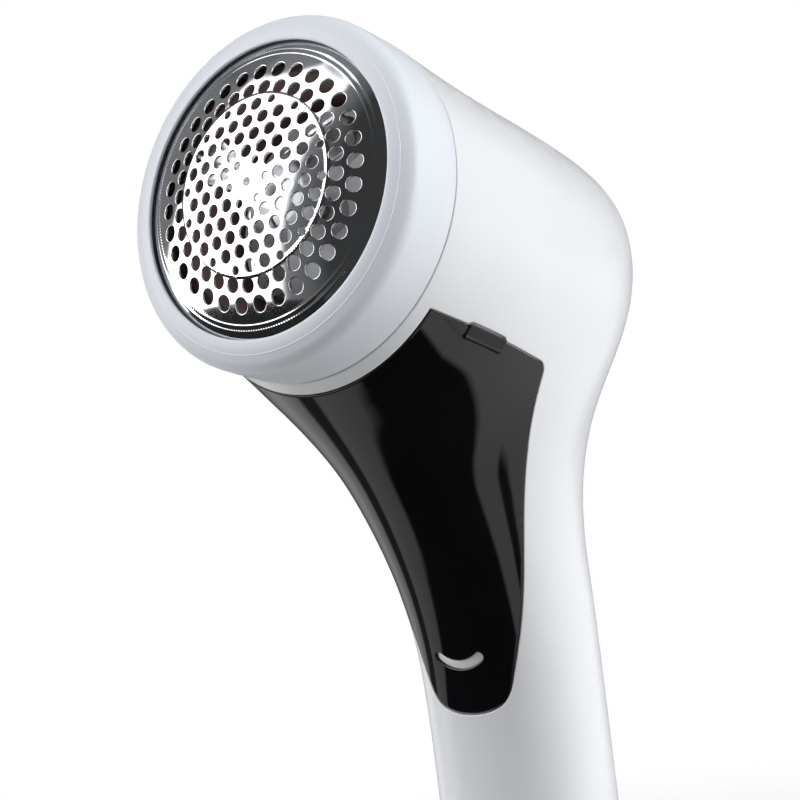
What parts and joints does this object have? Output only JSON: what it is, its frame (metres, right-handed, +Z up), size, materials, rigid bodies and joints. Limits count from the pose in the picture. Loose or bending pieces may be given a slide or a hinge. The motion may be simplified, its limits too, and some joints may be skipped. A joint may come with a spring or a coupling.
{
  "type": "fabric shaver",
  "caption": "Cordless fabric shaver with a round perforated cutting head, curved handle and pull-off lint container.",
  "frame": {"origin": "centre of the flat underside of the battery cap, in the plane of symmetry", "axes": "+Z up along the handle, -Y the way the cutting head faces (it tips 18 degrees upwards), X across"},
  "size_m": [0.0628, 0.0995, 0.181],
  "materials": {
    "gloss_white_plastic": "gloss",
    "satin_white_plastic": "satin",
    "gloss_black_plastic": "high gloss",
    "polished_steel": "polished",
    "blade_steel": "ground",
    "dark_brown_plastic": "matt",
    "dark_grey_plastic": "matt",
    "light_grey_plastic": "satin",
    "zinc_plated_steel": "zinc plated",
    "motor_steel": "zinc plated",
    "brass": "plain",
    "cell_sleeve": "satin sleeve"
  },
  "bodies": {
    "housing": {"main_housing": "gloss_white_plastic", "rear_cover": "gloss_white_plastic", "cover_screw_left": "zinc_plated_steel", "cover_screw_lower": "zinc_plated_steel", "cover_screw_right": "zinc_plated_steel", "head_collar": "dark_brown_plastic", "cutting_chamber": "dark_brown_plastic", "motor_can": "motor_steel", "motor_end_cap": "dark_grey_plastic", "motor_terminal_left": "brass", "motor_terminal_right": "brass", "motor_bracket": "dark_grey_plastic", "bracket_screw_left": "zinc_plated_steel", "bracket_screw_right": "zinc_plated_steel", "interlock_switch": "dark_grey_plastic", "switch_body": "dark_grey_plastic", "battery_left": "cell_sleeve", "battery_right": "cell_sleeve", "battery_tray": "dark_grey_plastic", "contact_plate": "zinc_plated_steel", "contact_spring": "zinc_plated_steel"},
    "drive": {"drive_shaft": "blade_steel", "lint_fan": "light_grey_plastic", "carrier_spring": "blade_steel"},
    "carrier": {"blade_carrier": "light_grey_plastic", "blade_1": "blade_steel", "blade_2": "blade_steel", "blade_3": "blade_steel"},
    "foil": {"shaving_foil": "polished_steel"},
    "ring": {"retaining_ring": "satin_white_plastic"},
    "container": {"lint_container": "gloss_black_plastic"},
    "knob": {"switch_knob": "light_grey_plastic"},
    "cap": {"battery_cap": "gloss_white_plastic", "contact_bridge": "zinc_plated_steel"},
    "pin": {"interlock_pin": "light_grey_plastic"}
  },
  "joints": [
    {"name": "drive_spin", "type": "hinge", "parent": "housing", "child": "drive", "pos_m": [0, -0.0455, 0.148], "axis": [0, -0.9511, 0.309], "continuous": true},
    {"name": "carrier_float", "type": "slide", "parent": "drive", "child": "carrier", "axis": [0, -0.9511, 0.309], "range_m": [-0.0008, 0], "stiffness_N_per_m": 300, "springref_m": 0.003},
    {"name": "foil_lift", "type": "slide", "parent": "housing", "child": "foil", "axis": [0, -0.9511, 0.309], "range_m": [0, 0.03]},
    {"name": "ring_twist", "type": "hinge", "parent": "foil", "child": "ring", "pos_m": [0, -0.0455, 0.148], "axis": [0, -0.9511, 0.309], "range_deg": [0, 15]},
    {"name": "container_pull", "type": "slide", "parent": "housing", "child": "container", "axis": [0, -0.1483, -0.9889], "range_m": [0, 0.035]},
    {"name": "switch_slide", "type": "slide", "parent": "housing", "child": "knob", "axis": [0, -0.0401, 0.9992], "range_m": [0, 0.004]},
    {"name": "cap_hinge", "type": "hinge", "parent": "housing", "child": "cap", "pos_m": [0, 0.0139, 0.0015], "axis": [1, 0, 0], "range_deg": [0, 95]},
    {"name": "interlock_press", "type": "slide", "parent": "housing", "child": "pin", "axis": [0, -0.9511, 0.309], "range_m": [-0.0012, 0], "stiffness_N_per_m": 200, "springref_m": 0.002}
  ]
}
